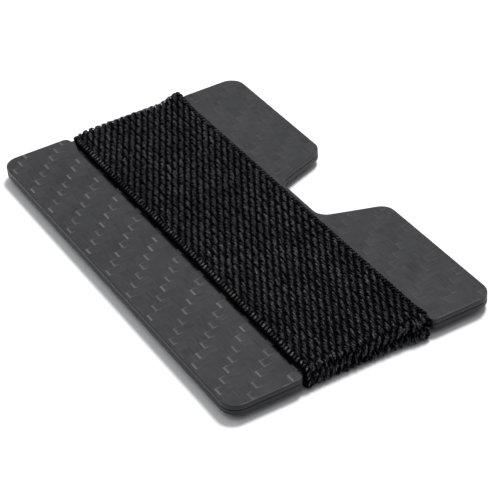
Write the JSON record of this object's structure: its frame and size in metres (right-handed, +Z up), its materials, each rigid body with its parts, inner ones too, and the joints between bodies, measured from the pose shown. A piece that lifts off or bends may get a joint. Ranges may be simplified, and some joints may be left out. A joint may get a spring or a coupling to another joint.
{
  "type": "minimalist wallet",
  "caption": "Flat card wallet: carbon-fibre plates with a thumb notch in one long side, held together by a wide woven elastic loop that lets them spread over a stack of cards.",
  "frame": {"origin": "on the surface the wallet lies on, under the centre of the plates", "axes": "+X along the long side and the band, +Y towards the side with the thumb notch, +Z up through the stack of plates"},
  "size_m": [0.09, 0.054, 0.0047],
  "materials": {
    "carbon_fibre": "satin twill laminate",
    "elastic": "ribbed woven elastic",
    "thread": "twisted polyester"
  },
  "bodies": {
    "bottom": {"bottom_plate": "carbon_fibre", "band_bottom_strand": "elastic", "band_end_left": "elastic", "band_end_right": "elastic", "band_seam_thread": "thread"},
    "top": {"top_plate": "carbon_fibre", "band_top_strand": "elastic"}
  },
  "joints": [
    {"name": "plate_spread", "type": "slide", "parent": "bottom", "child": "top", "axis": [0, 0, 1], "range_m": [0, 0.009], "stiffness_N_per_m": 700, "springref_m": -0.0085, "deforming": ["band_end_left", "band_end_right"]}
  ]
}
